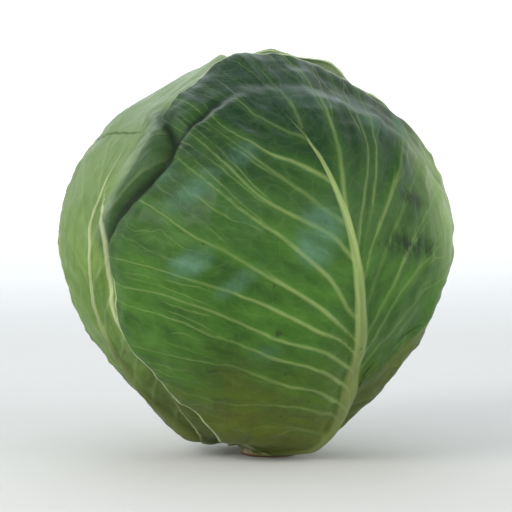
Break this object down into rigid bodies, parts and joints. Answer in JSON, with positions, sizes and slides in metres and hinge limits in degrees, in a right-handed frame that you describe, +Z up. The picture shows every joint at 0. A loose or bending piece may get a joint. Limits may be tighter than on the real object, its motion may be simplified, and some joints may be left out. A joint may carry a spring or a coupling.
{
  "type": "cabbage head",
  "caption": "Round green cabbage head on its cut stem, a dense heart wrapped in broad, veined, overlapping outer leaves.",
  "frame": {"origin": "centre of the stem's cut face, which the head rests on", "axes": "+Z up from the stem to the crown; -Y towards the side with the large front leaf; +X to its right"},
  "size_m": [0.1775, 0.1835, 0.1846],
  "materials": {
    "stem": "cut, woody and matt, with a dry brown rim",
    "heart": "pale, tight and waxy, satin",
    "crown_leaf": "pale green, waxy satin",
    "rear_left_leaf": "mid green, waxy satin",
    "right_leaf": "mid green, waxy satin, pale ribs",
    "left_leaf": "pale yellow-green, waxy satin, cream rib",
    "back_leaf": "deep green, waxy satin",
    "under_leaf": "olive green, waxy satin",
    "front_leaf": "deep green with a bluish wax bloom and pale veins"
  },
  "bodies": {
    "root": {"stem": "stem", "heart": "heart", "crown_leaf": "crown_leaf", "rear_left_leaf": "rear_left_leaf", "right_leaf": "right_leaf", "left_leaf": "left_leaf", "back_leaf": "back_leaf", "under_leaf": "under_leaf", "front_leaf": "front_leaf"}
  },
  "joints": []
}
